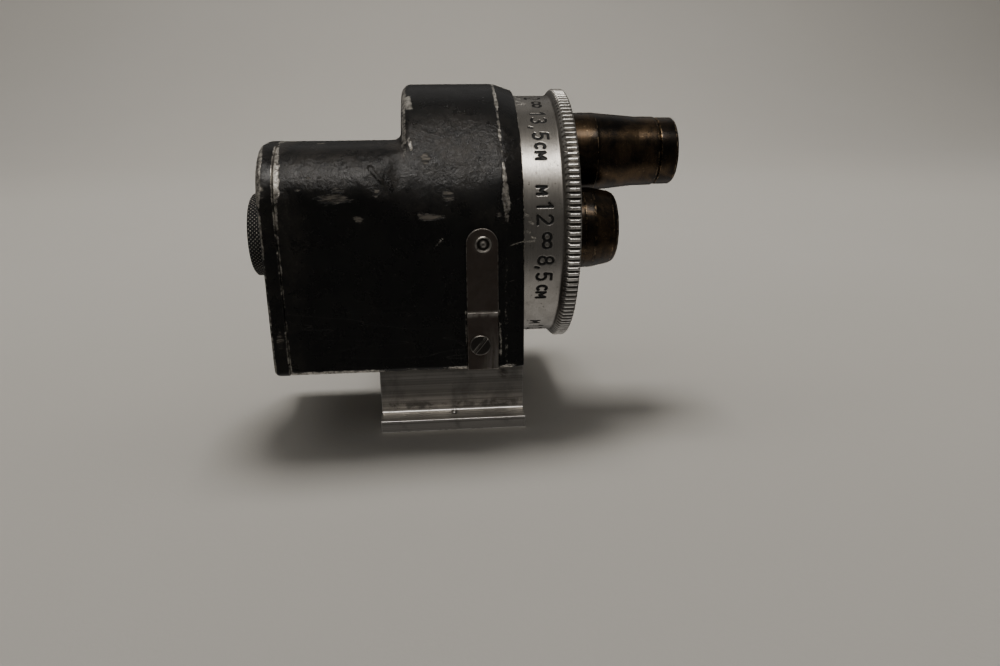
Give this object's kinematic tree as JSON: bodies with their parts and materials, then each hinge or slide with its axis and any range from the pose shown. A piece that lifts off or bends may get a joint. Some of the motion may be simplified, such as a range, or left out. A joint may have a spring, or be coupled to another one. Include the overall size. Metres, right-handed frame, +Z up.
{
  "type": "turret viewfinder",
  "caption": "Compact camera viewfinder: objectives on a rotating click-stop turret in front of a roof prism housing, with focusing eyepiece and shoe foot.",
  "frame": {"origin": "centre of the underside of the accessory-shoe foot", "axes": "+X towards the scene being viewed (the way the foot slides into a shoe), +Y towards the turret side, +Z up"},
  "size_m": [0.0629, 0.0414, 0.0483],
  "materials": {
    "enamel": "glossy black stove enamel over light alloy, worn to bare metal along its edges",
    "steel": "turned steel screws and pins",
    "black_anodised": "matt black finish on turned metal, bright on worn crests",
    "optical_glass": "polished optical glass",
    "brass": "plain turned brass",
    "light_alloy": "machined light alloy",
    "spring_steel": "dark blued spring steel, rubbed bright at its edges",
    "dark_steel": "blackened steel",
    "brushed_foot": "lengthwise brushed, dulled nickel plate",
    "satin_nickel": "satin nickel plate with fine turning marks",
    "lacquered_brass": "black lacquer over brass, rubbed through to bronze"
  },
  "bodies": {
    "root": {"housing": "enamel", "rear_cover": "enamel", "rear_cover_screw_1": "steel", "rear_cover_screw_2": "steel", "rear_cover_screw_3": "steel", "rear_cover_screw_4": "steel", "eyepiece_tube": "black_anodised", "eyepiece_key": "steel", "prism_entrance": "optical_glass", "prism_roof": "optical_glass", "prism_bracket": "light_alloy", "prism_clip": "spring_steel", "bracket_screw_1": "steel", "bracket_screw_2": "steel", "field_mask": "black_anodised", "accessory_foot": "brushed_foot", "foot_screw_1": "steel", "foot_screw_2": "steel", "foot_screw_3": "steel", "foot_screw_4": "steel", "foot_ball": "steel", "click_spring_base": "spring_steel", "click_spring_screw": "dark_steel", "turret_axle": "steel", "axle_flange_screw_1": "steel", "axle_flange_screw_2": "steel", "axle_flange_screw_3": "steel", "turret_washer": "steel", "turret_screw": "steel"},
    "turret": {"turret_ring": "satin_nickel", "turret_plate": "satin_nickel", "plate_screw_1": "steel", "plate_screw_2": "steel", "plate_screw_3": "steel", "lens_tube_135": "lacquered_brass", "lens_rim_135": "lacquered_brass", "lens_135": "optical_glass", "lens_tube_85": "lacquered_brass", "lens_85": "optical_glass", "lens_ring_85": "black_anodised", "lens_cell_50": "black_anodised", "lens_50": "optical_glass", "lens_ring_50": "brass", "lens_cell_35": "black_anodised", "lens_35": "optical_glass", "lens_ring_35": "brass", "lens_cell_28": "black_anodised", "lens_28": "optical_glass", "lens_ring_28": "brass"},
    "eyepiece_focus_ring": {"eyepiece_ring": "black_anodised"},
    "eyepiece_slide": {"eyepiece_cell": "black_anodised", "eye_lens": "optical_glass", "eye_lens_ring": "brass"},
    "click_spring": {"click_spring_arm": "spring_steel", "click_pin": "dark_steel"}
  },
  "joints": [
    {"name": "turret_spin", "type": "hinge", "parent": "root", "child": "turret", "pos_m": [0, 0.0108, 0.028], "axis": [1, 0, 0], "continuous": true},
    {"name": "eyepiece_turn", "type": "hinge", "parent": "root", "child": "eyepiece_focus_ring", "pos_m": [-0.0265, 0, 0.028], "axis": [1, 0, 0], "range_deg": [-120, 120]},
    {"name": "eyepiece_focus", "type": "slide", "parent": "root", "child": "eyepiece_slide", "axis": [1, 0, 0], "range_m": [-0.0008, 0.0008]},
    {"name": "click_spring_flex", "type": "hinge", "parent": "root", "child": "click_spring", "pos_m": [0.0044, -0.00985, 0.01838], "axis": [1, 0, 0], "range_deg": [0, 2.5], "stiffness_Nm_per_rad": 0.5}
  ],
  "couplings": [
    {"joint": "eyepiece_turn", "follows": "eyepiece_focus", "rad_per_m": 2617.9}
  ]
}
